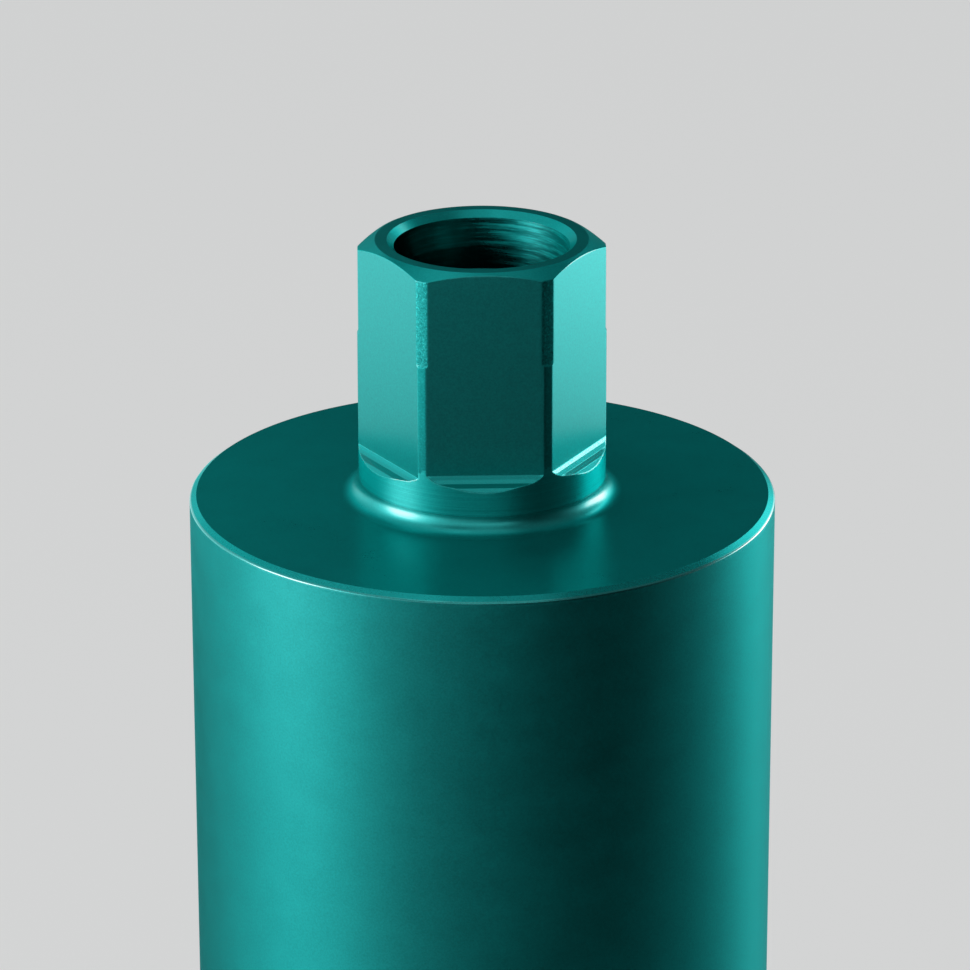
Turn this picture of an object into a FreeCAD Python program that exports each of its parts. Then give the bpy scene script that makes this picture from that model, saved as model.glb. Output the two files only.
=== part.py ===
import FreeCAD, Part
import math
import os
import Sketcher

# Wet diamond core bit, standing on its diamond segments, in millimetres.
# The origin is the middle of the cutting plane and +Z runs up the axis to the coupling.

SIZES = {
    # Steel tube
    "tube_diameter": 110.0,
    "tube_wall": 2.5,
    "working_length": 450.0,
    # Diamond segments, welded to the end of the tube
    "segment_count": 10,
    "segment_height": 10.0,
    "segment_length": 24.0,
    "segment_overlap": 1.0,
    "segment_bevel": 0.5,
    # End plate that closes the tube
    "rim_height": 1.5,
    "register_depth": 6.5,
    "register_bevel": 0.8,
    "rim_chamfer_width": 1.26,
    "rim_chamfer_height": 0.93,
    "rim_edge": 0.12,
    "boss_sweep": 3.3,
    # Coupling hub, turned from round bar and milled with six flats
    "across_flats": 41.0,
    "flat_count": 6,
    "collar_diameter": 46.4,
    "relief_diameter": 46.04,
    "relief_start": 28.2,
    "relief_ramp": 0.35,
    "hub_height": 46.3,
    "land_diameter": 39.6,
    "cone_drop": 1.55,
    "flat_foot": 7.15,
    "cutter_corner": 1.4,
    "cutter_slope": 35.0,
    "cutter_overrun": 4.0,
    "spigot_diameter": 38.0,
    "spigot_bevel": 0.8,
    # Bores of the hub, from the mouth down
    "mouth_diameter": 35.2,
    "mouth_depth": 1.2,
    "recess_diameter": 32.6,
    "recess_depth": 3.7,
    "thread_diameter": 31.75,
    "thread_depth": 37.0,
    "water_bore": 27.0,
    "drill_slope": 31.0,
    # Fits and seams
    "weld_gap": 0.05,
    "seam_bevel": 0.12,
}

doc = FreeCAD.newDocument("core_bit")
sheet = doc.addObject("Spreadsheet::Sheet", "Sizes")
for row, (name, value) in enumerate(SIZES.items(), start=1):
    sheet.set(f"A{row}", name)
    sheet.set(f"B{row}", str(value))
    sheet.setAlias(f"B{row}", name)
doc.recompute()


class Size:
    """A length as a number for drawing and as the sheet formula that drives it."""

    def __init__(self, value, text):
        self.value = value
        self.text = text

    @staticmethod
    def of(other):
        return other if isinstance(other, Size) else Size(float(other), str(other))

    def __add__(self, other):
        other = Size.of(other)
        return Size(self.value + other.value, f"({self.text} + {other.text})")

    def __sub__(self, other):
        other = Size.of(other)
        return Size(self.value - other.value, f"({self.text} - {other.text})")

    def __mul__(self, other):
        other = Size.of(other)
        return Size(self.value * other.value, f"({self.text} * {other.text})")

    def __truediv__(self, other):
        other = Size.of(other)
        return Size(self.value / other.value, f"({self.text} / {other.text})")

    def __rsub__(self, other):
        return Size.of(other) - self

    def __rtruediv__(self, other):
        return Size.of(other) / self

    def __neg__(self):
        return Size(-self.value, f"(-{self.text})")


def size(name):
    return Size(float(SIZES[name]), f"Sizes.{name}")


def sine(angle):
    return Size(math.sin(math.radians(angle.value)), f"sin({angle.text})")


def cosine(angle):
    return Size(math.cos(math.radians(angle.value)), f"cos({angle.text})")


def tangent(angle):
    return Size(math.tan(math.radians(angle.value)), f"tan({angle.text})")


tube_radius = size("tube_diameter") / 2
tube_inside = tube_radius - size("tube_wall")
tube_foot = size("segment_height")
tube_top = size("working_length") + size("register_depth")
plate_top = tube_top + size("rim_height")
hub_seat = plate_top + size("boss_sweep")


def new_body(label, height=None, turn=None):
    """A body named for its piece, set at its height on the axis and turned about it."""
    body = doc.addObject("PartDesign::Body", label)
    body.Label = label
    if height is not None:
        body.setExpression("Placement.Base.z", height.text)
    if turn is not None:
        body.Placement.Rotation = FreeCAD.Rotation(FreeCAD.Vector(0, 0, 1), turn.value)
        body.setExpression("Placement.Rotation.Angle", turn.text)
    return body


def origin_part(body, role):
    for feature in body.Origin.OriginFeatures:
        if feature.Role == role:
            return feature
    raise ValueError(role)


def new_sketch(body, name, plane):
    sketch = body.newObject("Sketcher::SketchObject", name)
    sketch.AttachmentSupport = [(origin_part(body, plane), "")]
    sketch.MapMode = "FlatFace"
    return sketch


def drive(sketch, constraint, formula):
    """Add a dimension to a sketch and bind it to its sheet formula."""
    index = sketch.addConstraint(constraint)
    sketch.setExpression(f"Constraints[{index}]", formula.text)


def pin(sketch, edge, end, across, along):
    """Place one end of an edge by its two distances from the sketch's origin."""
    drive(sketch, Sketcher.Constraint("DistanceX", -1, 1, edge, end, across.value), across)
    drive(sketch, Sketcher.Constraint("DistanceY", -1, 1, edge, end, along.value), along)


def draw_outline(sketch, corners, arcs=()):
    """Draw a closed outline through the corners. An arc replaces the straight edge that
    starts at its corner and is given as (corner, radius, centre side), where the side is
    +1 if the centre lies to the left of the way along the outline."""
    spots = [FreeCAD.Vector(across.value, along.value, 0) for across, along in corners]
    bends = {corner: (radius, side) for corner, radius, side in arcs}
    ends = {}
    for number, start in enumerate(spots):
        finish = spots[(number + 1) % len(spots)]
        if number not in bends:
            sketch.addGeometry(Part.LineSegment(start, finish))
            ends[number] = (1, 2)
            continue
        radius, side = bends[number]
        chord = finish - start
        left = FreeCAD.Vector(-chord.y, chord.x, 0).normalize()
        rise = math.sqrt(max(radius.value**2 - (chord.Length / 2) ** 2, 0))
        centre = start + chord * 0.5 + left * side * rise
        first, last = (start, finish) if side > 0 else (finish, start)
        angles = [math.atan2(spot.y - centre.y, spot.x - centre.x) for spot in (first, last)]
        circle = Part.Circle(centre, FreeCAD.Vector(0, 0, 1), radius.value)
        sketch.addGeometry(Part.ArcOfCircle(circle, *angles))
        ends[number] = (1, 2) if side > 0 else (2, 1)
    for number, (across, along) in enumerate(corners):
        before = (number - 1) % len(corners)
        joint = Sketcher.Constraint(
            "Coincident", before, ends[before][1], number, ends[number][0]
        )
        sketch.addConstraint(joint)
        pin(sketch, number, ends[number][0], across, along)
    for corner, (radius, side) in bends.items():
        drive(sketch, Sketcher.Constraint("Radius", corner, radius.value), radius)


def revolve(body, name, sketch):
    feature = body.newObject("PartDesign::Revolution", name)
    feature.Profile = sketch
    feature.ReferenceAxis = (sketch, ["V_Axis"])
    feature.Angle = 360
    return feature


# Coupling hub: its shoulder sits on the boss of the end plate, at height 0 of its body.
def make_hub():
    body = new_body("hub", hub_seat)
    top = size("hub_height")
    collar = size("collar_diameter") / 2
    relief = size("relief_diameter") / 2
    spigot = size("spigot_diameter") / 2
    spigot_end = -(size("boss_sweep") + size("rim_height") + size("register_depth"))
    recess = size("recess_diameter") / 2
    thread = size("thread_diameter") / 2
    water = size("water_bore") / 2
    step = recess - thread
    drill_end = top - size("thread_depth") - (thread - water) * tangent(size("drill_slope"))
    blank = new_sketch(body, "hub_section", "XZ_Plane")
    draw_outline(blank, [
        (water, spigot_end),
        (spigot - size("spigot_bevel"), spigot_end),
        (spigot, spigot_end + size("spigot_bevel")),
        (spigot, Size(0.0, "0")),
        (collar - size("seam_bevel"), Size(0.0, "0")),
        (collar, size("seam_bevel")),
        (collar, size("relief_start")),
        (relief, size("relief_start") + size("relief_ramp")),
        (relief, top - size("cone_drop")),
        (size("land_diameter") / 2, top),
        (size("mouth_diameter") / 2, top),
        (recess, top - size("mouth_depth")),
        (recess, top - size("recess_depth")),
        (thread, top - size("recess_depth") - step),
        (thread, top - size("thread_depth")),
        (water, drill_end),
    ])
    revolve(body, "hub_turning", blank)
    cutter = new_sketch(body, "flat_cutter", "YZ_Plane")
    flat = size("across_flats") / 2
    corner = size("cutter_corner")
    lean = 90 - size("cutter_slope")
    slope_start = flat + corner * (1 - cosine(lean))
    slope_height = size("flat_foot") - corner * sine(lean)
    outside = collar + size("cutter_overrun")
    draw_outline(cutter, [
        (flat, top + size("cutter_overrun")),
        (flat, size("flat_foot")),
        (slope_start, slope_height),
        (outside, slope_height - (outside - slope_start) * tangent(size("cutter_slope"))),
        (outside, top + size("cutter_overrun")),
    ], arcs=[(1, corner, 1)])
    cut = body.newObject("PartDesign::Pocket", "milled_flat")
    cut.Profile = cutter
    cut.Midplane = True
    cut.setExpression("Length", "Sizes.collar_diameter")
    flats = body.newObject("PartDesign::PolarPattern", "milled_flats")
    flats.Originals = [cut]
    flats.Axis = (origin_part(body, "Z_Axis"), [""])
    flats.Angle = 360
    flats.setExpression("Occurrences", "Sizes.flat_count")
    body.Tip = flats
    return body


# End plate: its rim rests on the end of the tube, at height 0 of its body.
def make_end_plate():
    body = new_body("end_plate", tube_top)
    bore = size("spigot_diameter") / 2 + size("weld_gap")
    register = tube_inside - size("weld_gap")
    collar = size("collar_diameter") / 2
    top = size("rim_height")
    sweep = size("boss_sweep")
    section = new_sketch(body, "plate_section", "XZ_Plane")
    draw_outline(section, [
        (bore, -size("register_depth")),
        (register - size("register_bevel"), -size("register_depth")),
        (register, size("register_bevel") - size("register_depth")),
        (register, Size(0.0, "0")),
        (tube_radius - size("rim_edge"), Size(0.0, "0")),
        (tube_radius, size("rim_edge")),
        (tube_radius, top - size("rim_chamfer_height")),
        (tube_radius - size("rim_chamfer_width"), top),
        (collar + sweep, top),
        (collar, top + sweep),
        (bore, top + sweep),
    ], arcs=[(8, sweep, -1)])
    revolve(body, "plate_turning", section)
    return body


# Tube: it stands on the segments, at height 0 of its body.
def make_tube():
    body = new_body("tube", tube_foot)
    length = tube_top - tube_foot
    edge = size("seam_bevel")
    section = new_sketch(body, "tube_section", "XZ_Plane")
    draw_outline(section, [
        (tube_inside, Size(0.0, "0")),
        (tube_radius, Size(0.0, "0")),
        (tube_radius, length - edge),
        (tube_radius - edge, length),
        (tube_inside, length),
    ])
    revolve(body, "tube_wall", section)
    return body


# Diamond segments: curved blocks as wide as the kerf, evenly round the end of the tube.
def make_segment(number):
    turn = Size(float(number), str(number)) * 360 / size("segment_count")
    body = new_body(f"segment_{number + 1:02d}", turn=turn)
    outside = tube_radius + size("segment_overlap")
    inside = tube_inside - size("segment_overlap")
    bevel = size("segment_bevel")
    foot = Size(0.0, "0")
    section = new_sketch(body, f"kerf_section_{number + 1:02d}", "XZ_Plane")
    draw_outline(section, [
        (inside + bevel, foot),
        (outside - bevel, foot),
        (outside, bevel),
        (outside, size("segment_height")),
        (inside, size("segment_height")),
        (inside, bevel),
    ])
    block = revolve(body, f"curved_block_{number + 1:02d}", section)
    block.Midplane = True
    span = size("segment_length") / outside * 180 / math.pi
    block.setExpression("Angle", span.text)
    return body


pieces = [make_hub(), make_end_plate(), make_tube()]
pieces += [make_segment(number) for number in range(int(SIZES["segment_count"]))]
doc.recompute()

for item in doc.Objects:
    if "Invalid" in item.State or "Error" in item.State:
        raise RuntimeError(f"{item.Label}: {item.State}")
os.makedirs("parts", exist_ok=True)
for piece in pieces:
    if piece.Shape.isNull() or not piece.Shape.isValid():
        raise RuntimeError(f"{piece.Label}: its shape is not sound")
for piece in pieces:
    piece.Shape.exportStep(f"parts/{piece.Label}.step")
    print(piece.Label, round(piece.Shape.Volume, 1), "cubic mm")
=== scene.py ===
import math
import random

import bpy
from mathutils import Matrix, Vector, noise


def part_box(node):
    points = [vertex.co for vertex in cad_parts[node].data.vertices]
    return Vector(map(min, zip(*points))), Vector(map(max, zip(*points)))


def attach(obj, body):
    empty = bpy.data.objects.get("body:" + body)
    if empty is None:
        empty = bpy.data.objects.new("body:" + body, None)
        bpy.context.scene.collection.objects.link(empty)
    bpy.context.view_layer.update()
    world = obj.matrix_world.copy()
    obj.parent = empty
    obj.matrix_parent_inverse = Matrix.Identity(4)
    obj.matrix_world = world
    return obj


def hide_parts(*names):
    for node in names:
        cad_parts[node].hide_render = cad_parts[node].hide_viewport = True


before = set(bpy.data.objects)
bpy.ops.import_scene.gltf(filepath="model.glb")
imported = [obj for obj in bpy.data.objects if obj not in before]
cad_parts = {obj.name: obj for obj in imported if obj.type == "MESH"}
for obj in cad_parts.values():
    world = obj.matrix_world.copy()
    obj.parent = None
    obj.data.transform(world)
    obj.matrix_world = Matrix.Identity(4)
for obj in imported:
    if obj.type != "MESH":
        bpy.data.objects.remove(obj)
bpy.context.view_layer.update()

# Sizes are in millimetres, with heights measured from the floor, and meshes are scaled by MM
MM = 0.001

# Tube, with the weld at its foot that holds the segments
tube_low, tube_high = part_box("tube")
TUBE_RADIUS = tube_high[0] / MM
TUBE_WALL = 2.5
TUBE_FOOT = tube_low[2] / MM
TUBE_TOP = tube_high[2] / MM
TUBE_INSIDE = TUBE_RADIUS - TUBE_WALL
TUBE_EDGE = 0.1
SEAM_BEVEL = 0.03
CRISP = 0.01
WELD_TOP = TUBE_FOOT + 1.2
WELD_FADE = 1.5
WELD_WAVER = 2.0

# End plate, with its chamfered rim and its sweep up to the hub
plate_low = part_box("end_plate")[0]
PLATE_FOOT = plate_low[2] / MM
PLATE_EDGE = 0.15
RIM_HEIGHT = 1.5
PLATE_TOP = TUBE_TOP + RIM_HEIGHT
WELD_GAP = 0.05
REGISTER_BEVEL = 0.8
REGISTER_CORNER = 0.05
CHAMFER_WIDTH = 1.26
CHAMFER_HEIGHT = 0.93
CHAMFER_START = TUBE_RADIUS - CHAMFER_WIDTH
RIM_ROUNDING = 0.42
CHAMFER_EDGE = 0.06
RIM_WAVE = 0.06
RIM_WAVE_CELLS = 9
RIM_WAVE_START = CHAMFER_START + 0.5
RIM_WAVE_FOOT = TUBE_TOP + 0.15
BOSS_SWEEP = 3.3
SWEEP_STEPS = 14

# Hub, turned from round bar, with its heights measured from its shoulder
hub_low, hub_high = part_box("hub")
SEAT = PLATE_TOP + BOSS_SWEEP
HUB_TOP = hub_high[2] / MM - SEAT
SPIGOT_END = hub_low[2] / MM - SEAT
COLLAR = 23.2
RELIEF = 23.02
RELIEF_START = 28.2
RELIEF_END = 28.55
LAND = 19.8
CONE_DROP = 1.55
FLAT = 20.5
FLAT_COUNT = 6
HALF_TURN = math.pi / FLAT_COUNT
# Height of the foot of each flat and how steep its run-out is, from the front flat round by the right
FEET = [(7.25, 0.92), (7.55, 1.0), (7.3, 0.95), (7.1, 0.9), (7.35, 0.95), (6.5, 0.7)]
# How far the cutter's path has left a flat, by the drop below the foot of the flat
RUN_OUT = [(0.0, 0.0), (0.15, 0.03), (0.75, 0.37), (1.4, 0.9), (1.95, 2.02), (2.8, 2.72), (4.2, 3.8)]
SPIGOT = 19.0
SPIGOT_BEVEL = 0.8
MOUTH = 17.6
MOUTH_DEPTH = 1.2
MOUTH_EDGE = 0.08
RECESS = 16.3
RECESS_DEPTH = 3.7
MAJOR = 15.875
THREAD_DEPTH = 37.0
WATER_BORE = 13.5
DRILL_SLOPE = math.radians(31)

# Thread, cut as 60 degree ridges on a right-hand helix
PITCH = 25.4 / 7
RIDGE = 0.5413 * PITCH
CREST_HALF = PITCH / 8
FLANK = 0.3125 * PITCH
THREAD_TOP = HUB_TOP - 11.2
THREAD_END = HUB_TOP - THREAD_DEPTH + 3.6
THREAD_ROWS = 120
THREAD_MARGIN = 0.2
THREAD_RELIEF = 0.7

# Outlines, whose holding points sit a little beyond the ends of each curve
LONGEST_EASE = 0.4
HOLD_AT = 1.6
HOLD_ROOM = 4
SAME_POINT = 1e-6
TURNED_COLUMNS = 288


# Outlines and turned forms
def holding_point(spot, side, ease):
    """A point on the face beside a curve, or the curve's own end where there is no room for one."""
    reach = HOLD_AT if side.length > HOLD_ROOM * ease else 1.0
    return spot + side.normalized() * reach * ease


def rounded(corners, steps=4):
    """An outline of (radius, height, edge) corners with each edge eased to a small curve.
    Each curve has a holding point before and after it, so that flat faces stay flat."""
    outline = []
    for number, (radius, height, edge) in enumerate(corners):
        spot = Vector((radius, height))
        if edge == 0 or number in (0, len(corners) - 1):
            outline.append(spot)
            continue
        before = Vector(corners[number - 1][:2]) - spot
        after = Vector(corners[number + 1][:2]) - spot
        ease = edge / math.tan(before.angle(after) / 2)
        ease = min(ease, LONGEST_EASE * before.length, LONGEST_EASE * after.length)
        start = spot + before.normalized() * ease
        end = spot + after.normalized() * ease
        outline.append(holding_point(spot, before, ease))
        for step in range(steps + 1):
            share = step / steps
            outline.append(start * (1 - share)**2 + spot * 2 * share * (1 - share) + end * share**2)
        outline.append(holding_point(spot, after, ease))
    return [point for n, point in enumerate(outline)
            if n == 0 or (point - outline[n - 1]).length > SAME_POINT]


def ring(radii, angles, height):
    return [Vector((r * math.cos(a), r * math.sin(a), height)) for r, a in zip(radii, angles)]


def round_rings(outline, angles, foot=0):
    """A round ring at each (radius, height) of an outline, with heights measured from its foot."""
    return [ring([spot.x] * len(angles), angles, foot + spot.y) for spot in outline]


def skin(name, rings, finishes, paint):
    """A closed mesh through equal rings, the last of which joins the first again."""
    count = len(rings[0])
    points = [point * MM for loop in rings for point in loop]
    faces = []
    kinds = []
    for row in range(len(rings)):
        above = (row + 1) % len(rings)
        for column in range(count):
            beside = (column + 1) % count
            faces.append((row * count + column, row * count + beside,
                          above * count + beside, above * count + column))
            kinds.append(paint(row, column))
    mesh = bpy.data.meshes.new(name)
    mesh.from_pydata(points, [], faces)
    for finish in finishes:
        mesh.materials.append(finish.material)
    mesh.polygons.foreach_set("material_index", kinds)
    mesh.polygons.foreach_set("use_smooth", [True] * len(faces))
    piece = bpy.data.objects.new(name, mesh)
    bpy.context.scene.collection.objects.link(piece)
    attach(piece, "root")
    return piece


def lathe(name, corners, finishes):
    """A piece turned to an outline of (radius, height, edge) corners, all the way round.
    Its outside wall takes the second finish, if there is one."""
    angles = [2 * math.pi * n / TURNED_COLUMNS for n in range(TURNED_COLUMNS)]
    outline = rounded(corners)

    def paint(row, column):
        after = outline[(row + 1) % len(outline)]
        on_wall = min(outline[row].x, after.x) > TUBE_RADIUS - CRISP
        return len(finishes) - 1 if on_wall else 0

    return skin(name, round_rings(outline, angles), finishes, paint)


# Shader maths and finishes
class Wire:
    """A shader output on which Python's operators add Math nodes."""

    def __init__(self, finish, socket):
        self.finish = finish
        self.socket = socket

    def maths(self, operation, first, second):
        return self.finish.node("ShaderNodeMath", {"operation": operation}, {0: first, 1: second})

    def __add__(self, other):
        return self.maths("ADD", self, other)

    def __radd__(self, other):
        return self.maths("ADD", other, self)

    def __sub__(self, other):
        return self.maths("SUBTRACT", self, other)

    def __rsub__(self, other):
        return self.maths("SUBTRACT", other, self)

    def __mul__(self, other):
        return self.maths("MULTIPLY", self, other)

    def __rmul__(self, other):
        return self.maths("MULTIPLY", other, self)

    def __truediv__(self, other):
        return self.maths("DIVIDE", self, other)

    def __rtruediv__(self, other):
        return self.maths("DIVIDE", other, self)

    def __pow__(self, other):
        return self.maths("POWER", self, other)


class Finish:
    """A material with one metal or ground shader, and the nodes that vary it."""

    def __init__(self, name):
        self.material = bpy.data.materials.new(name)
        self.material.use_nodes = True
        self.tree = self.material.node_tree
        self.shader = self.tree.nodes["Principled BSDF"]

    def node(self, kind, settings=None, values=None, output=0):
        made = self.tree.nodes.new(kind)
        for name, value in (settings or {}).items():
            if name == "stops":
                self.fill(made.color_ramp, value)
            else:
                setattr(made, name, value)
        for name, value in (values or {}).items():
            self.join(made.inputs[name], value)
        return Wire(self, made.outputs[output])

    def fill(self, ramp, stops):
        while len(ramp.elements) < len(stops):
            ramp.elements.new(1.0)
        for element, (place, level) in zip(ramp.elements, stops):
            element.position = place
            element.color = (level, level, level, 1.0)

    def join(self, socket, value):
        if isinstance(value, Wire):
            self.tree.links.new(value.socket, socket)
        else:
            socket.default_value = value

    def set(self, **values):
        for name, value in values.items():
            self.join(self.shader.inputs[name.replace("_", " ")], value)

    def noise(self, vector, scale, detail=2.0, roughness=0.5):
        return self.node("ShaderNodeTexNoise", {}, {
            "Vector": vector, "Scale": scale, "Detail": detail, "Roughness": roughness})

    def vector(self, x, y, z):
        return self.node("ShaderNodeCombineXYZ", {}, {"X": x, "Y": y, "Z": z})

    def band(self, value, low, high):
        """A mask that rises from 0 at low to 1 at high. Low may be the greater of the two."""
        return self.node("ShaderNodeMapRange", {"interpolation_type": "SMOOTHSTEP"}, {
            "Value": value, "From Min": low, "From Max": high})

    def blend(self, factor, first, second, kind="MIX"):
        return self.node("ShaderNodeMix", {"data_type": "RGBA", "blend_type": kind}, {
            0: factor, 6: first, 7: second}, output=2)

    def bump(self, height, strength, distance):
        return self.node("ShaderNodeBump", {}, {
            "Strength": strength, "Distance": distance, "Height": height})

    def places(self):
        """Object coordinates as x, y, height and the distance from the axis, in metres."""
        spot = self.node("ShaderNodeTexCoord", output="Object")
        x, y, z = (self.node("ShaderNodeSeparateXYZ", {}, {0: spot}, output=n) for n in range(3))
        return x, y, z, (x * x + y * y)**0.5

    def grain_spot(self):
        """Object coordinates in millimetres, for the grain of the segments."""
        x, y, z, reach = self.places()
        return self.vector(x * MM_IN_METRE, y * MM_IN_METRE, z * MM_IN_METRE)


# Colours
TEAL = (0.008, 0.385, 0.375, 1.0)
DEEP_TEAL = (0.004, 0.26, 0.253, 1.0)
EDGE_TINT = (0.0, 0.85, 0.83, 1.0)
# Painted shade: the dark colour of the bore's left side and its depths
BORE_SHADE_TEAL = (0.001, 0.075, 0.07, 1.0)
MATRIX = (0.16, 0.18, 0.18, 1.0)
DARK_MATRIX = (0.06, 0.07, 0.07, 1.0)
GRIT = (0.55, 0.56, 0.36, 1.0)
BLACK = (0.0, 0.0, 0.0, 1.0)
WHITE = (1.0, 1.0, 1.0, 1.0)

# Marks on the steel: noise cells in a metre, across the axis and along it
TURNED_LINES = (60, 4000)
SAND = (2700, 2700)
CLOUDS = (120, 200)
FEED_RINGS = (15, 3000)
CUTTER_LINES = (10, 4200)
TORN_STREAKS = (90, 1400)
STEEL_BUMP = 0.35
STEEL_RELIEF = 0.00002
MM_IN_METRE = 1000

# Radii at which the end plate's looks change
SWEEP_END = COLLAR + BOSS_SWEEP
GLOSS_START = COLLAR + 1.7
GLOSS_FULL = COLLAR + 0.4
CHAMFER_BLUR = 0.05
RIM_LINE_START = TUBE_RADIUS - 0.35
RIM_LINE = TUBE_RADIUS - 0.25

# Torn part of the bore, whose colour is lightened there as a painted highlight, in metres: how its boundary
# leans with depth, wavers and fades; the rest of the bore is darkened as painted shade
TORN_AND_LIT_LEAN = 0.7
TORN_AND_LIT_WAVER = 0.012
TORN_AND_LIT_START = -0.007
TORN_AND_LIT_FULL = 0.009


class Steel(Finish):
    """Teal steel with a fine grain, and a thin clear lacquer that whitens its highlights."""

    def __init__(self, name, roughness, grain=0.0, coat=0.3, gloss=0.2, sand=0.5, rings=0.5, mottle=1.0,
                 inward=False, deep=DEEP_TEAL):
        super().__init__(name)
        self.deep = deep
        self.x, self.y, self.z, self.reach = self.places()
        along = self.z + self.reach if inward else self.z - self.reach
        self.lines = self.marks(along, TURNED_LINES, detail=3.0)
        self.specks = self.marks(self.z, SAND, detail=2.0)
        self.cloud = self.marks(self.z, CLOUDS, detail=3.0)
        self.roughness = roughness + (self.cloud - 0.5) * 0.08 * mottle + (self.specks - 0.5) * 0.2 * sand
        self.shade = 0.5 + (self.cloud - 0.5) * 0.4 * mottle + (self.specks - 0.5) * sand * 2.0
        self.height = self.lines * rings + self.specks * sand * 0.5
        self.set(
            Metallic=1.0,
            Specular_Tint=EDGE_TINT,
            Coat_Weight=coat,
            Coat_Roughness=gloss,
            Anisotropic=grain,
            Anisotropic_Rotation=0.25,
        )

    def marks(self, along, cells, detail, roughness=0.6):
        across, lengthwise = cells
        spot = self.vector(self.x * across, self.y * across, along * lengthwise)
        return self.noise(spot, 1.0, detail, roughness)

    def colour(self):
        return self.node("ShaderNodeMix", {"data_type": "RGBA", "clamp_factor": False}, {
            0: self.shade, 6: self.deep, 7: TEAL}, output=2)

    def done(self):
        self.set(
            Base_Color=self.colour(),
            Roughness=self.roughness,
            Normal=self.bump(self.height, STEEL_BUMP, STEEL_RELIEF),
        )
        return self


def tube_steel():
    """The tube, with a dull band at its foot where the segments are welded on."""
    finish = Steel("satin_tube", roughness=0.38, grain=0.5, coat=0.14, gloss=0.4, sand=0.6)
    height = finish.z + (finish.cloud - 0.5) * (WELD_WAVER * MM)
    weld = 1.0 - finish.band(height, WELD_TOP * MM, (WELD_TOP + WELD_FADE) * MM)
    finish.roughness = finish.roughness + weld * 0.2
    finish.shade = finish.shade - weld * 0.9 - 0.15
    finish.height = finish.height + weld * finish.cloud * 4.0
    return finish.done()


def plate_steel():
    """The end plate: glossy on its sweep and along its rim, and satin on its flat face."""
    finish = Steel("turned_plate", roughness=0.3, grain=0.3, sand=0.35)
    sweep = finish.band(finish.reach, SWEEP_END * MM, GLOSS_FULL * MM)
    glossy = finish.band(finish.reach, GLOSS_START * MM, GLOSS_FULL * MM)
    chamfer = finish.band(
        finish.reach, (CHAMFER_START - CHAMFER_BLUR) * MM, (CHAMFER_START + CHAMFER_BLUR) * MM)
    edge = finish.band(finish.reach, RIM_LINE_START * MM, RIM_LINE * MM)
    bare = (1.0 - sweep) * (1.0 - chamfer)
    finish.set(
        Metallic=1.0 - bare * 0.3,
        Specular_IOR_Level=0.0,
        Coat_Weight=0.03 + glossy * 0.35 + chamfer * 0.07 + edge * 0.7,
    )
    finish.roughness = finish.roughness - chamfer * 0.02 - edge * 0.08
    finish.shade = finish.shade + chamfer * (finish.specks - 0.5) * 0.8 - bare * 0.4 - chamfer * 0.25
    return finish.done()


def collar_steel():
    """The collar, with its turned rings."""
    finish = Steel("turned_collar", roughness=0.42, grain=0.9, coat=0.35, gloss=0.15, sand=0.4, mottle=0.5)
    feed = finish.marks(finish.z, FEED_RINGS, detail=2.0, roughness=0.7)
    finish.height = finish.height + feed * 7.0
    finish.shade = finish.shade + (feed - 0.5) * 1.6 + 0.3
    finish.roughness = finish.roughness + (feed - 0.5) * 0.2
    return finish.done()


def strip_steel(name, roughness, coat, shade, specks):
    """A strip between two flats, left from the turned blank, with bright specks in it."""
    finish = Steel(name, roughness, grain=0.3, coat=coat, sand=specks, mottle=0.5)
    glints = finish.band(finish.specks, 0.58, 0.7) * specks * 0.5
    finish.shade = finish.shade + shade + glints
    return finish.done()


def run_out_steel():
    """The end of a flat: fine lines left by the milling cutter, parallel to the foot."""
    finish = Steel(
        "cutter_run_out", roughness=0.24, grain=0.2, coat=0.25, gloss=0.15, sand=0.2, rings=0.2, mottle=0.5)
    lines = finish.marks(finish.z, CUTTER_LINES, detail=3.0, roughness=0.7)
    finish.height = finish.height + lines * 3.0
    finish.shade = finish.shade + (lines - 0.5) * 0.8
    return finish.done()


def bore_steel():
    """The bore: smooth on its left, where its colour is darkened as painted shade, and left rough and
    streaky by the boring tool on its right, where its colour is lightened as a painted highlight; the
    painted shade reaches further round the deeper it goes.
    """
    finish = Steel("cut_bore", roughness=0.15, grain=0.75, sand=0.4, inward=True, deep=BORE_SHADE_TEAL)
    depth = (SEAT + HUB_TOP) * MM - finish.z
    streaks = finish.marks(finish.z, TORN_STREAKS, detail=4.0, roughness=0.65)
    boundary = finish.x - depth * TORN_AND_LIT_LEAN + (streaks - 0.5) * TORN_AND_LIT_WAVER
    # This mask both roughens the bore's right side and lightens it as a painted highlight, and it narrows
    # with depth as painted shade
    torn_and_lit = finish.band(boundary, TORN_AND_LIT_START, TORN_AND_LIT_FULL)
    ragged_and_highlit = finish.band(streaks, 0.42, 0.62)
    finish.set(Coat_Weight=0.1 + torn_and_lit * ragged_and_highlit * 0.7)
    finish.roughness = finish.roughness + torn_and_lit * (0.2 + streaks * 0.35)
    # Painted shade and painted highlight: the colour is darkened towards the bore's shade colour on its left
    # and deep down, and lightened past the teal in bright streaks on its right
    finish.shade = finish.shade * 0.1 + ragged_and_highlit * 0.12 + torn_and_lit * (0.75 + ragged_and_highlit * 1.1)
    finish.height = finish.height + streaks * (1.0 + torn_and_lit * 8.0)
    return finish.done()


def matrix_steel():
    """The sintered metal that holds the diamonds: grey, rough and pitted."""
    finish = Finish("diamond_matrix")
    spot = finish.grain_spot()
    grains = finish.noise(spot, 2.6, 4.0, 0.7)
    stains = finish.noise(spot, 0.25, 3.0, 0.6)
    finish.set(
        Metallic=1.0,
        Base_Color=finish.blend(grains * 0.8 + stains * 0.5 - 0.15, DARK_MATRIX, MATRIX),
        Roughness=0.42 + grains * 0.3,
        Normal=finish.bump(grains, 0.6, 0.0001),
    )
    return finish


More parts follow.
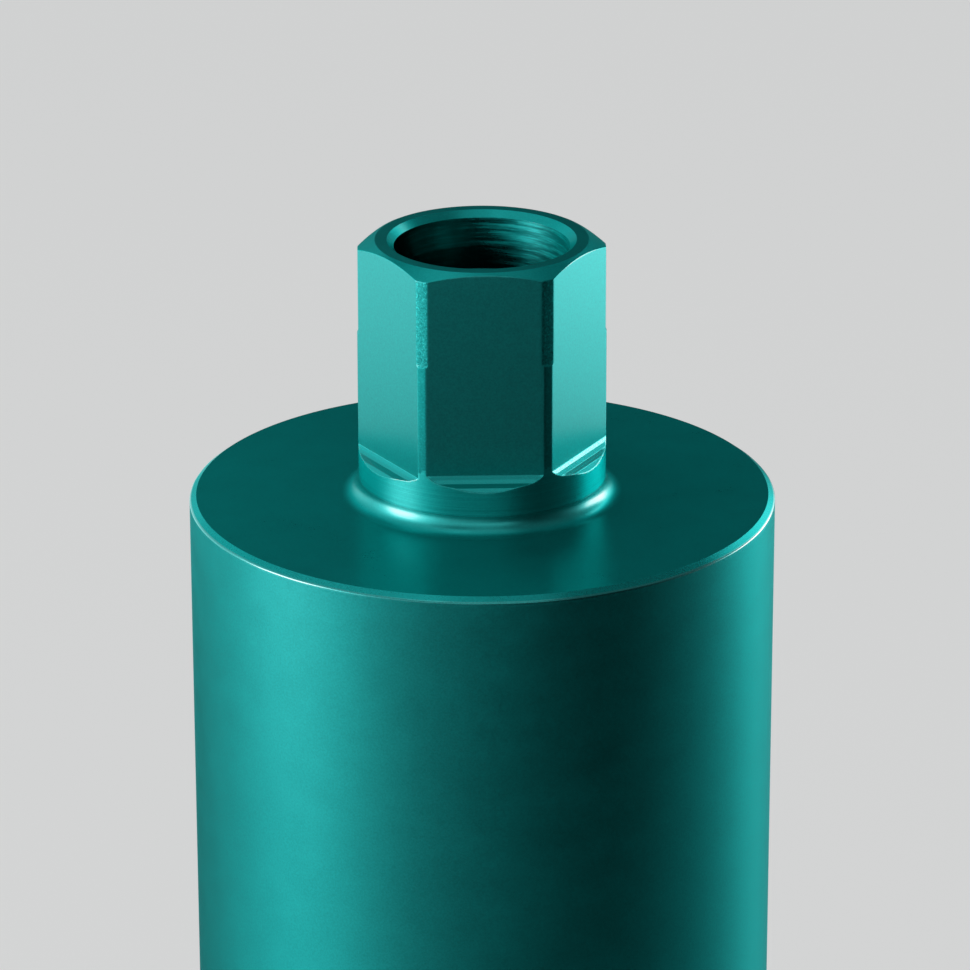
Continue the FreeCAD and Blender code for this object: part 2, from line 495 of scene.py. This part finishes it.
def grit_crystal():
    """Diamond grit: pale, hard and glassy, with dull faces here and there."""
    finish = Finish("diamond_grit")
    spot = finish.grain_spot()
    facets = finish.noise(spot, 1.8, 2.0, 0.5)
    finish.set(
        Base_Color=finish.blend(facets, MATRIX, GRIT),
        Roughness=0.1 + facets * 0.3,
        Coat_Weight=0.6,
        Normal=finish.bump(facets, 0.3, 0.00005),
    )
    return finish


tube_finish = tube_steel()
plate_finish = plate_steel()
collar_finish = collar_steel()
flat_finish = Steel("milled_flat", roughness=0.34, grain=0.3, coat=0.42, sand=0.7, mottle=0.2).done()
upper_strip_finish = strip_steel("upper_strip", roughness=0.4, coat=0.15, shade=-0.4, specks=2.0)
lower_strip_finish = strip_steel("lower_strip", roughness=0.36, coat=0.05, shade=-0.6, specks=0.8)
top_finish = Steel("turned_top", roughness=0.33, grain=0.2, coat=0.1, sand=0.5).done()
bore_finish = bore_steel()
run_out_finish = run_out_steel()
matrix_finish = matrix_steel()
grit_finish = grit_crystal()

# Finishes of the hub, and the place of each in the list
HUB_FINISHES = [collar_finish, flat_finish, upper_strip_finish, top_finish, bore_finish,
                run_out_finish, lower_strip_finish]
ON_COLLAR, ON_FLAT, ON_UPPER_STRIP, ON_TOP, IN_BORE, ON_RUN_OUT, ON_LOWER_STRIP = range(len(HUB_FINISHES))


# Tube: a drawn tube that carries the plate above and the segments below
def make_tube():
    tube = lathe("tube_drawn", [
        (TUBE_INSIDE, TUBE_FOOT + TUBE_WALL, 0),
        (TUBE_INSIDE, TUBE_FOOT, TUBE_EDGE),
        (TUBE_RADIUS, TUBE_FOOT, TUBE_EDGE),
        (TUBE_RADIUS, TUBE_TOP - SEAM_BEVEL, CRISP),
        (TUBE_RADIUS - SEAM_BEVEL, TUBE_TOP, CRISP),
        (TUBE_INSIDE, TUBE_TOP, TUBE_EDGE),
        (TUBE_INSIDE, TUBE_TOP - TUBE_WALL, 0),
    ], [tube_finish])
    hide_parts("tube")


# End plate: turned disc with a chamfered rim, swept up to the boss that carries the hub
def make_end_plate():
    bore = SPIGOT + WELD_GAP
    register = TUBE_INSIDE - WELD_GAP
    corners = [
        (bore, PLATE_FOOT + 1, 0),
        (bore, PLATE_FOOT, PLATE_EDGE),
        (register - REGISTER_BEVEL, PLATE_FOOT, PLATE_EDGE),
        (register, PLATE_FOOT + REGISTER_BEVEL, PLATE_EDGE),
        (register, TUBE_TOP, REGISTER_CORNER),
        (TUBE_RADIUS, TUBE_TOP, CRISP),
        (TUBE_RADIUS, PLATE_TOP - CHAMFER_HEIGHT, RIM_ROUNDING),
        (CHAMFER_START, PLATE_TOP, CHAMFER_EDGE),
    ]
    for step in range(SWEEP_STEPS + 1):
        lean = math.pi / 2 * step / SWEEP_STEPS
        edge = CRISP if step == SWEEP_STEPS else 0
        radius = COLLAR + BOSS_SWEEP * (1 - math.sin(lean))
        corners.append((radius, SEAT - BOSS_SWEEP * math.cos(lean), edge))
    corners += [(bore, SEAT, PLATE_EDGE), (bore, SEAT - 1, 0)]
    plate = lathe("end_plate_turned", corners, [plate_finish, tube_finish])
    wave_rim(plate)
    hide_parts("end_plate")


def wave_rim(plate):
    """Raise and lower the rim's edge a little all the way round."""
    for vertex in plate.data.vertices:
        spot = vertex.co / MM
        if spot.xy.length > RIM_WAVE_START and spot.z > RIM_WAVE_FOOT:
            side = spot.xy.normalized() * RIM_WAVE_CELLS
            vertex.co.z += noise.noise(Vector((side.x, side.y, 0.5))) * RIM_WAVE * MM


# Hub: each outer ring follows the milled edges, so that they stay crisp
EDGE = 0.1
CONE_RATE = CONE_DROP / (RELIEF - LAND)
LEAST_STEP = 0.1
FLAT_PARTS = 16
STRIP_PARTS = 5
EDGE_NICKS = 0.5
NICK_CELLS = (30, 1.3)
LAND_LIP = 0.02
MOUTH_ROWS = 12
# Rows of faces up the collar, five facets of a run-out, the flat, the step, the strip above it and the cone
PARTS = [18, 6, 6, 6, 6, 4, 20, 6, 22, 14]
COLLAR_ROWS = PARTS[0]
FLAT_ROW = sum(PARTS[:6]) - 1
LOWER_STRIP_ROW = sum(PARTS[:6]) + 2
UPPER_STRIP_ROW = sum(PARTS[:7]) + PARTS[7] // 2
CONE_ROW = sum(PARTS[:9])


def softened(first, second, edge):
    """The smaller of two distances, with the corner between them rounded over."""
    overlap = max(edge - abs(first - second), 0.0)
    return min(first, second) - overlap**2 / (4 * edge)


def turned_radius(height):
    """Radius of the turned blank at a height above the shoulder."""
    share = min(max((height - RELIEF_START) / (RELIEF_END - RELIEF_START), 0.0), 1.0)
    side = COLLAR + (RELIEF - COLLAR) * share
    foot = COLLAR - SEAM_BEVEL + height
    cone = LAND + (HUB_TOP - height) / CONE_RATE
    return softened(softened(side, foot, EDGE / 2), cone, EDGE)


def between(value, pairs):
    """The second number of the pairs, read off in straight lines at a value of the first."""
    for (low, first), (high, second) in zip(pairs, pairs[1:]):
        if value <= high:
            return first + (second - first) * max(value - low, 0.0) / (high - low)
    return pairs[-1][1]


def flat_distance(height, flat):
    """Distance from the axis to the cutter's path, which runs out above the collar in steps."""
    foot, steepness = FEET[flat]
    return FLAT + between((foot - height) / steepness, RUN_OUT)


def crescent_height(angle, flat):
    """Height at which the run-out of a flat meets the collar."""
    foot, steepness = FEET[flat]
    reach = COLLAR * math.cos(angle) - FLAT
    return foot - steepness * between(reach, [(distance, drop) for drop, distance in RUN_OUT])


def arc_height(angle):
    """Height at which a flat, or a strip between flats, meets the cone of the top."""
    return HUB_TOP - (min(FLAT / math.cos(angle), RELIEF) - LAND) * CONE_RATE


def graded(low, high, count):
    """Heights from low up to high, closer together at both ends."""
    return [low + (high - low) * (1 - math.cos(math.pi * n / count)) / 2 for n in range(count)]


def column_heights(angle, flat):
    foot, steepness = FEET[flat]
    levels = [0.0, crescent_height(angle, flat)]
    for drop, distance in reversed(RUN_OUT[:5]):
        levels.append(max(foot - drop * steepness, levels[-1] + LEAST_STEP))
    levels += [RELIEF_START, RELIEF_END, arc_height(angle), HUB_TOP - LAND_LIP]
    heights = []
    for count, low, high in zip(PARTS, levels, levels[1:]):
        heights += graded(low, high, count)
    return heights + levels[-1:]


def column_shares():
    """Each column's side and its shares of the half flat and of the half strip beyond it."""
    half = [(math.sin(math.pi / 2 * n / FLAT_PARTS), 0.0) for n in range(FLAT_PARTS + 1)]
    half += [(1.0, 1 - math.cos(math.pi / 2 * n / STRIP_PARTS)) for n in range(1, STRIP_PARTS + 1)]
    left = [(-1, *shares) for shares in reversed(half[1:])]
    return left + [(1, *shares) for shares in half[:-1]]


def column_angle(side, across, beyond, radius):
    """Angle of a column from the middle of its flat, where the blank has this radius."""
    edge_angle = math.acos(FLAT / radius)
    return side * (edge_angle * across + (HALF_TURN - edge_angle) * beyond)


def nicked_edge(turn, height):
    """Size of the rounding of the milled edges, which varies a little."""
    around, lengthwise = NICK_CELLS
    spot = Vector((math.cos(turn) * around, math.sin(turn) * around, height * lengthwise))
    return EDGE * (1 + EDGE_NICKS * noise.noise(spot))


def outer_rings():
    rings = []
    for flat in range(FLAT_COUNT):
        middle = 2 * HALF_TURN * flat - math.pi / 2
        for side, across, beyond in column_shares():
            start = column_angle(side, across, beyond, COLLAR)
            for row, height in enumerate(column_heights(start, flat)):
                blank = turned_radius(height)
                angle = column_angle(side, across, beyond, min(max(blank, RELIEF), COLLAR))
                turn = middle + angle
                milled = flat_distance(height, flat) / math.cos(angle)
                radius = softened(blank, milled, nicked_edge(turn, height))
                if len(rings) <= row:
                    rings.append([])
                rings[row].append(Vector((radius * math.cos(turn), radius * math.sin(turn), SEAT + height)))
    return rings


def bore_radius(turn, height):
    """Radius of the threaded bore, with its ridges cut back at both ends."""
    lead = (height / PITCH - turn / (2 * math.pi)) % 1.0
    from_crest = abs(lead - 0.5) * PITCH
    flank = min(max((CREST_HALF + FLANK - from_crest) / FLANK, 0.0), 1.0)
    lead_in = MAJOR - max(THREAD_TOP - height, 0.0)
    run_out = MAJOR - max(height - THREAD_END, 0.0)
    return max(MAJOR - RIDGE * flank, lead_in, run_out)


def mouth_outline():
    """The land, the chamfer of the mouth, and the recess, which tapers down to the thread."""
    step = RECESS - MAJOR
    return rounded([
        (LAND - 0.04, HUB_TOP, 0),
        (LAND - 0.12, HUB_TOP, 0),
        (MOUTH, HUB_TOP, MOUTH_EDGE),
        (RECESS, HUB_TOP - MOUTH_DEPTH, MOUTH_EDGE),
        (RECESS, HUB_TOP - RECESS_DEPTH + 3 * step, 0.3),
        (MAJOR, HUB_TOP - RECESS_DEPTH - 7 * step, 0.3),
        (MAJOR, THREAD_TOP + 2 * THREAD_MARGIN, 0),
    ])


def thread_rings(angles):
    top = THREAD_TOP + THREAD_MARGIN
    end = THREAD_END - 2 * THREAD_MARGIN
    heights = [top + (end - top) * row / THREAD_ROWS for row in range(THREAD_ROWS + 1)]
    return [ring([bore_radius(a, height) for a in angles], angles, SEAT + height) for height in heights]


def spigot_outline():
    """The drilled end of the threaded bore, the water way, and the spigot round it."""
    bottom = HUB_TOP - THREAD_DEPTH
    drill_end = bottom - (MAJOR - WATER_BORE) * math.tan(DRILL_SLOPE)
    return rounded([
        (MAJOR, THREAD_END - THREAD_RELIEF, 0),
        (MAJOR, bottom, 0.1),
        (WATER_BORE, drill_end, 0.1),
        (WATER_BORE, SPIGOT_END, 0.3),
        (SPIGOT - SPIGOT_BEVEL, SPIGOT_END, 0.2),
        (SPIGOT, SPIGOT_END + SPIGOT_BEVEL, 0.2),
        (SPIGOT, 0, 0),
        (COLLAR - SEAM_BEVEL - 0.05, 0, 0),
    ])


def make_hub():
    rings = outer_rings()
    bore_row = len(rings) + MOUTH_ROWS
    angles = [math.atan2(point.y, point.x) for point in rings[0]]
    rings += round_rings(mouth_outline(), angles, SEAT)
    rings += thread_rings(angles)
    rings += round_rings(spigot_outline(), angles, SEAT)
    columns = column_shares()

    def paint(row, column):
        side, across, beyond = columns[column % len(columns)]
        after = columns[(column + 1) % len(columns)]
        on_flat = beyond == 0 and after[2] == 0
        if row >= bore_row:
            return IN_BORE
        if row >= CONE_ROW:
            return ON_TOP
        if row >= COLLAR_ROWS and on_flat:
            return ON_RUN_OUT if row < FLAT_ROW else ON_FLAT
        if row >= UPPER_STRIP_ROW:
            return ON_UPPER_STRIP
        return ON_LOWER_STRIP if row >= LOWER_STRIP_ROW else ON_COLLAR

    hub = skin("hub_turned", rings, HUB_FINISHES, paint)
    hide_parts("hub")


# Diamond segments: curved blocks of sintered metal with grit standing proud of every face
SEGMENT_COUNT = 10
SEGMENT_HEIGHT = TUBE_FOOT
SEGMENT_LENGTH = 24.0
SEGMENT_OUTSIDE = TUBE_RADIUS + 1
SEGMENT_INSIDE = TUBE_INSIDE - 1
SEGMENT_CELLS = (12, 66, 28)
GRIT_HEIGHT = 0.15
GRIT_SPREAD = (0.8, 1.2)
MATRIX_SINK = 0.04
EDGE_SINK = 0.05
GRIT_SHARE = 0.09


def lattice(cells, place):
    """Points and outward faces of a closed block, from the place of each of its grid points."""
    numbers = {}
    points = []
    faces = []
    for axis in range(3):
        others = ((axis + 1) % 3, (axis + 2) % 3)
        for end in (0, cells[axis]):
            for first in range(cells[others[0]]):
                for second in range(cells[others[1]]):
                    face = []
                    for step in ((0, 0), (1, 0), (1, 1), (0, 1)):
                        spot = [end, end, end]
                        spot[others[0]] = first + step[0]
                        spot[others[1]] = second + step[1]
                        if tuple(spot) not in numbers:
                            numbers[tuple(spot)] = len(points)
                            points.append(place(*spot))
                        face.append(numbers[tuple(spot)])
                    faces.append(face if end else face[::-1])
    return numbers, points, faces


def make_segment(number):
    draw = random.Random(number)
    middle = 2 * math.pi * number / SEGMENT_COUNT
    through, along, up = SEGMENT_CELLS
    crystals = set()

    def place(across, around, rise):
        spot = (across, around, rise)
        ends = [0 if at == 0 else 1 if at == last else None for at, last in zip(spot, SEGMENT_CELLS)]
        on_edge = sum(end is not None for end in ends) > 1
        inner = all(1 < at < last - 1 for at, last, end in zip(spot, SEGMENT_CELLS, ends) if end is None)
        depth = GRIT_HEIGHT * draw.uniform(*GRIT_SPREAD) + MATRIX_SINK
        if on_edge:
            depth = GRIT_HEIGHT + EDGE_SINK
        elif inner and rise < up and draw.random() < GRIT_SHARE:
            crystals.add(spot)
            depth = 0.0
        radius = SEGMENT_INSIDE + (SEGMENT_OUTSIDE - SEGMENT_INSIDE) * across / through
        arc = SEGMENT_LENGTH * (around / along - 0.5)
        height = SEGMENT_HEIGHT * rise / up
        if ends[0] is not None:
            radius += depth * (1 - 2 * ends[0])
        if ends[1] is not None:
            arc += depth * (1 - 2 * ends[1])
        if ends[2] == 0:
            height += depth
        turn = middle + arc / SEGMENT_OUTSIDE
        return Vector((radius * math.cos(turn), radius * math.sin(turn), height)) * MM

    numbers, points, faces = lattice(SEGMENT_CELLS, place)
    gritty = {numbers[spot] for spot in crystals}
    name = f"segment_block_{number + 1:02d}"
    mesh = bpy.data.meshes.new(name)
    mesh.from_pydata(points, [], faces)
    mesh.materials.append(matrix_finish.material)
    mesh.materials.append(grit_finish.material)
    mesh.polygons.foreach_set("material_index", [int(any(n in gritty for n in face)) for face in faces])
    block = bpy.data.objects.new(name, mesh)
    bpy.context.scene.collection.objects.link(block)
    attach(block, "root")
    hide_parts(f"segment_{number + 1:02d}")


make_tube()
make_end_plate()
make_hub()
for number in range(SEGMENT_COUNT):
    make_segment(number)

# Floor, in metres: partly lit by itself, so that it looks even to the camera and in the metal
FLOOR_HALF = 8.0
FLOOR_COLOUR = (0.85, 0.86, 0.86, 1.0)
FLOOR_GLOW = 0.65
SEEN_BY = ("Is Camera Ray", "Is Glossy Ray", "Is Transmission Ray")
bpy.ops.mesh.primitive_plane_add(size=2 * FLOOR_HALF, location=(0, 0, 0))
floor = bpy.context.object
floor.name = "floor"
floor_finish = Finish("pale_floor")
floor_finish.set(Base_Color=FLOOR_COLOUR, Roughness=0.8)
camera_ray, glossy_ray, passing_ray = (
    floor_finish.node("ShaderNodeLightPath", output=name) for name in SEEN_BY)
plain = floor_finish.node("ShaderNodeEmission", {}, {"Color": FLOOR_COLOUR})
mixed = floor_finish.node("ShaderNodeMixShader", {}, {
    0: (camera_ray + glossy_ray + passing_ray) * FLOOR_GLOW,
    1: Wire(floor_finish, floor_finish.shader.outputs[0]),
    2: plain,
})
ground = floor_finish.tree.nodes["Material Output"].inputs["Surface"]
floor_finish.join(ground, mixed)
floor.data.materials.append(floor_finish.material)

# Camera, in metres and degrees, with its film and focal length in millimetres
CAMERA_AZIMUTH = -90 - 1.589
CAMERA_ELEVATION = 20.876
CAMERA_DISTANCE = 1.04016
CAMERA_PITCH = 20.831
CAMERA_ROLL = -0.118
CAMERA_ASIDE = 0.000512
AIM_HEIGHT = 0.458
FILM_WIDTH = 36.0
FOCAL_LENGTH = 205.32
NEAREST = 0.01
FARTHEST = 50.0
lens = bpy.data.cameras.new("camera")
lens.sensor_width = FILM_WIDTH
lens.lens = FOCAL_LENGTH
lens.clip_start = NEAREST
lens.clip_end = FARTHEST
camera = bpy.data.objects.new("camera", lens)
bpy.context.scene.collection.objects.link(camera)
turn = math.radians(CAMERA_AZIMUTH)
rise = math.radians(CAMERA_ELEVATION)
pitch = math.radians(CAMERA_PITCH)
outward = Vector((math.cos(turn), math.sin(turn), 0))
right = Vector((-math.sin(turn), math.cos(turn), 0))
forward = -outward * math.cos(pitch) - Vector((0, 0, math.sin(pitch)))
up = right.cross(forward)
roll = math.radians(CAMERA_ROLL)
across = right * math.cos(roll) + up * math.sin(roll)
above = up * math.cos(roll) - right * math.sin(roll)
place = outward * CAMERA_DISTANCE * math.cos(rise) + right * CAMERA_ASIDE
place.z = AIM_HEIGHT + CAMERA_DISTANCE * math.sin(rise)
turned = Matrix((across, above, -forward)).transposed().to_4x4()
camera.matrix_world = Matrix.Translation(place) @ turned
bpy.context.scene.camera = camera
bpy.context.scene.view_settings.view_transform = "Standard"

# Studio, in metres: a round reflector wall that only the metal sees, and soft light from above
STUDIO_GREY = (0.21, 0.21, 0.21, 1.0)
SOFT_BOX_DISTANCE = 1.8
world = bpy.data.worlds.new("studio")
bpy.context.scene.world = world
world.use_nodes = True
world.node_tree.nodes["Background"].inputs["Color"].default_value = STUDIO_GREY

WALL_RADIUS = 0.42
WALL_HEIGHT = 0.79
WALL_PANELS = 96
WALL_GAIN = 6.0
# Radiance of the wall at five heights, by the angle in degrees to the right of the camera
WALL_BELOW = [
    (-180, 0.12), (-150, 0.18), (-135, 0.35), (-120, 0.55), (-99, 0.78), (-88, 1.05), (-77, 1.2),
    (-67, 1.2), (-54, 0.95), (-41, 0.6), (-25, 0.3), (-9, 0.16), (7, 0.08), (23, 0.03), (39, 0.01),
    (56, 0.02), (75, 0.12), (97, 0.28), (109, 0.5), (120, 0.8), (130, 1.0), (138, 0.85),
    (148, 0.45), (165, 0.2), (180, 0.12)]
WALL_LEVEL = [
    (-180, 0.12), (-165, 1.1), (-143, 2.1), (-127, 1.85), (-117, 1.8), (-100, 1.5), (-77, 1.5),
    (-60, 0.9), (-41, 0.5), (-25, 0.26), (-9, 0.12), (7, 0.06), (23, 0.02), (39, 0.01), (56, 0.02),
    (75, 0.12), (97, 0.4), (112, 1.4), (123, 2.5), (132, 2.2), (145, 1.0), (160, 0.3), (180, 0.12)]
WALL_ABOVE = [
    (-180, 0.12), (-165, 0.45), (-142, 1.4), (-123, 1.5), (-112, 1.4), (-102, 1.7), (-97, 2.2), (-91, 3.2),
    (-86, 5.5), (-66, 5.5), (-58, 3.2), (-48, 2.1), (-40, 1.3), (-33, 0.9), (-20, 0.65),
    (0, 0.45), (15, 0.15), (36, 0.04), (50, 0.04), (67, 0.08), (85, 0.25), (94, 0.5), (98, 1.0),
    (102, 2.2), (107, 4.2), (130, 4.2), (136, 3.6), (142, 2.8), (150, 1.6), (160, 0.4), (180, 0.12)]
WALL_MIDDLE = [
    (-180, 0.1), (-165, 0.35), (-148, 0.9), (-123, 1.05), (-107, 1.35), (-95, 2.3), (-84, 4.0),
    (-68, 4.0), (-60, 2.4), (-53, 1.6), (-40, 1.0), (-30, 0.9), (0, 1.1), (20, 1.1), (32, 0.2), (50, 0.06),
    (90, 0.15), (105, 0.45), (120, 0.7), (126, 1.0), (130, 1.5), (133, 2.5), (139, 2.6),
    (142, 1.8), (146, 0.8), (152, 0.35), (163, 0.15), (180, 0.1)]
WALL_HIGH = [
    (-180, 0.12), (-165, 0.3), (-148, 0.9), (-140, 1.1), (-121, 1.0), (-107, 1.15), (-95, 1.5),
    (-82, 2.2), (-69, 2.2), (-60, 1.6), (-53, 1.2), (-33, 0.75), (0, 0.55), (20, 0.5), (34, 0.2), (50, 0.12),
    (90, 0.15), (110, 0.3), (118, 0.4), (123, 0.9), (127, 2.2), (131, 3.6), (137, 3.4), (140, 1.8),
    (144, 0.8), (147, 0.6), (154, 0.3), (163, 0.15), (180, 0.12)]
# Heights in metres over which the wall changes from each of these levels to the next
LEVEL_RISES = [(0.3, 0.385), (0.385, 0.46), (0.555, 0.6), (0.66, 0.72)]
# The wall glows warm where it is brightest, which takes the highlights towards white
WARM_LEVELS = (0.4, 0.75)
WARM_GLOW = (6.0, 1.0, 1.0, 1.0)


def wall_light():
    """The glow of the reflector wall, which changes round it and with height."""
    finish = Finish("reflector_light")
    x, y, z, reach = finish.places()
    angle = finish.node("ShaderNodeMath", {"operation": "ARCTAN2"}, {0: y, 1: x})
    place = angle / (2 * math.pi) + 0.5
    levels = []
    for light in (WALL_BELOW, WALL_LEVEL, WALL_ABOVE, WALL_MIDDLE, WALL_HIGH):
        stops = [((degrees + 180) / 360, level / WALL_GAIN) for degrees, level in light]
        levels.append(finish.node("ShaderNodeValToRGB", {"stops": stops}, {"Fac": place}))
    glow = levels[0]
    for rise, level in zip(LEVEL_RISES, levels[1:]):
        glow = finish.blend(finish.band(z, *rise), glow, level)
    warmth = finish.blend(finish.band(glow, *WARM_LEVELS), WHITE, WARM_GLOW)
    finish.set(
        Base_Color=BLACK,
        Specular_IOR_Level=0.0,
        Emission_Color=finish.blend(1.0, glow, warmth, "MULTIPLY"),
        Emission_Strength=WALL_GAIN,
    )
    return finish


def make_reflector_wall():
    points = []
    faces = []
    for panel in range(WALL_PANELS):
        turn = 2 * math.pi * panel / WALL_PANELS
        spot = Vector((WALL_RADIUS * math.cos(turn), WALL_RADIUS * math.sin(turn), 0))
        points += [spot, spot + Vector((0, 0, WALL_HEIGHT))]
        after = (panel + 1) % WALL_PANELS
        faces.append((2 * panel, 2 * after, 2 * after + 1, 2 * panel + 1))
    mesh = bpy.data.meshes.new("reflector_wall")
    mesh.from_pydata(points, [], faces)
    mesh.materials.append(wall_light().material)
    wall = bpy.data.objects.new("reflector_wall", mesh)
    wall.rotation_euler.z = math.radians(CAMERA_AZIMUTH)
    bpy.context.scene.collection.objects.link(wall)
    wall.visible_camera = False
    wall.visible_diffuse = False
    wall.visible_shadow = False


def soft_box(name, angle, elevation, size, radiance):
    """A square lamp that faces the top of the object, placed by its angle from the camera."""
    light = bpy.data.lights.new(name, "AREA")
    light.size = size
    light.energy = radiance * math.pi * size**2
    lamp = bpy.data.objects.new(name, light)
    turn = math.radians(CAMERA_AZIMUTH + angle)
    rise = math.radians(elevation)
    offset = Vector((math.cos(turn) * math.cos(rise), math.sin(turn) * math.cos(rise), math.sin(rise)))
    lamp.location = offset * SOFT_BOX_DISTANCE + Vector((0, 0, AIM_HEIGHT))
    lamp.rotation_euler = offset.to_track_quat("Z", "Y").to_euler()
    lamp.visible_camera = False
    bpy.context.scene.collection.objects.link(lamp)


make_reflector_wall()
soft_box("upper_left_soft_box", angle=-95, elevation=55, size=1.9, radiance=0.55)
soft_box("back_soft_box", angle=180, elevation=60, size=1.0, radiance=0.3)
soft_box("front_soft_box", angle=5, elevation=74, size=1.0, radiance=0.45)
soft_box("low_front_soft_box", angle=5, elevation=49, size=0.75, radiance=0.2)
